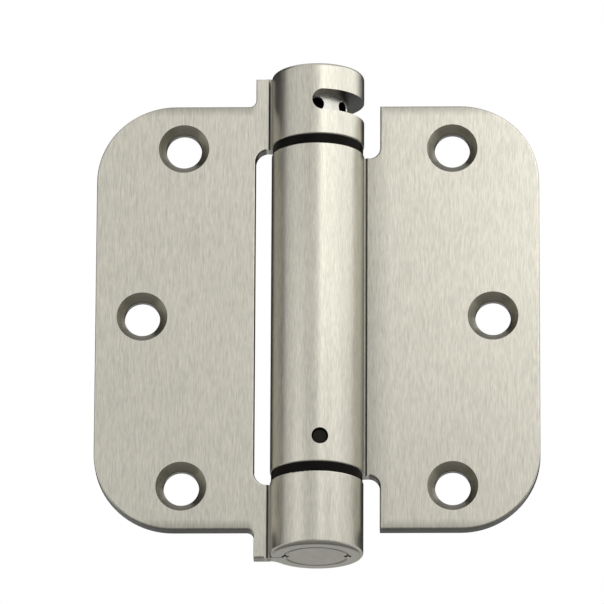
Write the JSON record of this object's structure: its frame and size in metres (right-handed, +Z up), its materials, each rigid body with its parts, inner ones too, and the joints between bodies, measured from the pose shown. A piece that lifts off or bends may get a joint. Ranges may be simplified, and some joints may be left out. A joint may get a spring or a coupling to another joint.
{
  "type": "spring loaded door hinge",
  "caption": "Spring loaded door hinge lying open, with round cornered leaves, countersunk screw holes and a rolled barrel with a tension window.",
  "frame": {"origin": "on the hinge axis at mid height", "axes": "+Z up along the hinge axis to the tension window's end, +X towards the door leaf with the hinge open flat, -Y out of the countersunk side"},
  "size_m": [0.0888, 0.0186, 0.1006],
  "materials": {
    "satin_nickel": "satin nickel plate with a fine upright grain",
    "black_nylon": "matte",
    "collar_steel": "turned steel",
    "black_steel": "blackened",
    "spring_steel": "drawn wire with an oil film",
    "plug_steel": "satin"
  },
  "bodies": {
    "frame_side": {"frame_leaf": "satin_nickel", "top_cap": "plug_steel", "bottom_pivot": "plug_steel"},
    "door_side": {"door_leaf": "satin_nickel", "upper_bearing": "black_nylon", "lower_bearing": "black_nylon", "spring_anchor": "collar_steel", "anchor_pin": "black_steel", "torsion_spring": "spring_steel"},
    "collar": {"tension_collar": "collar_steel"}
  },
  "joints": [
    {"name": "leaf_swing", "type": "hinge", "parent": "frame_side", "child": "door_side", "pos_m": [0, 0, 0], "axis": [0, 0, -1], "range_deg": [0, 180]},
    {"name": "tension_turn", "type": "hinge", "parent": "door_side", "child": "collar", "pos_m": [0, 0, 0.04255], "axis": [0, 0, -1], "range_deg": [0, 240], "stiffness_Nm_per_rad": 0.39, "deforming": ["torsion_spring"]}
  ]
}
